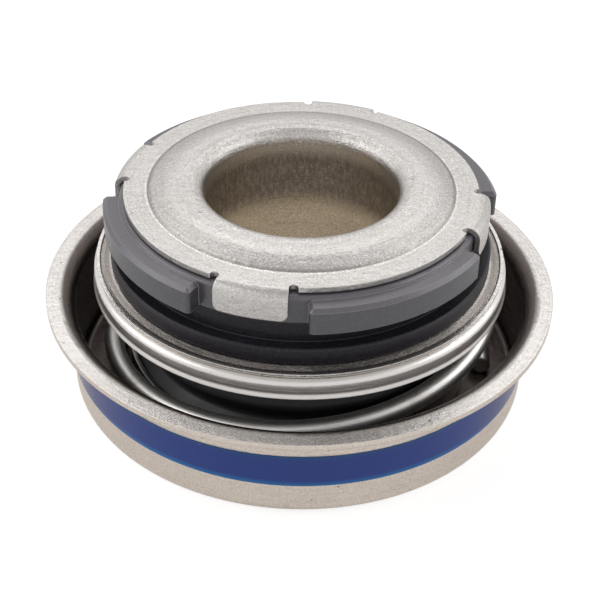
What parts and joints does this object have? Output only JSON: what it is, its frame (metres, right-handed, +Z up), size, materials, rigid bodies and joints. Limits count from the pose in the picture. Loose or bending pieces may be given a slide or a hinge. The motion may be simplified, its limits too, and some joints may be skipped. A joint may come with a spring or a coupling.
{
  "type": "mechanical seal",
  "caption": "Unitised mechanical face seal for a coolant pump shaft: drawn case with flange, bellows, coil spring, carbon ring, lugged mating ring and pressed sleeve.",
  "frame": {"origin": "on the shaft axis, in the plane of the case underside", "axes": "+Z runs up the shaft axis from the case floor to the mating ring; -Y faces the side the seal is looked at from"},
  "size_m": [0.0428, 0.0428, 0.0186],
  "materials": {
    "stainless_sheet": "tumbled deep-drawn stainless sheet, satin",
    "spring_wire": "polished round wire",
    "blue_sealant": "satin lacquer coat",
    "black_rubber": "moulded, slightly glossy",
    "carbon_graphite": "machined, matt",
    "silicon_carbide": "tumbled sintered, satin"
  },
  "bodies": {
    "case": {"case": "stainless_sheet", "sealant_band": "blue_sealant", "bellows_clamp_ring": "stainless_sheet", "bellows": "black_rubber", "spring": "spring_wire"},
    "head": {"spring_cap": "stainless_sheet", "drive_band": "stainless_sheet", "carbon_ring": "carbon_graphite"},
    "rotor": {"mating_ring": "silicon_carbide", "seat_gasket": "black_rubber", "sleeve": "stainless_sheet"}
  },
  "joints": [
    {"name": "head_slide", "type": "slide", "parent": "case", "child": "head", "axis": [0, 0, 1], "range_m": [-0.004, 0], "stiffness_N_per_m": 2300, "springref_m": 0.006, "deforming": ["spring", "bellows"]},
    {"name": "rotor_spin", "type": "hinge", "parent": "head", "child": "rotor", "pos_m": [0, 0, 0], "axis": [0, 0, 1], "continuous": true}
  ]
}
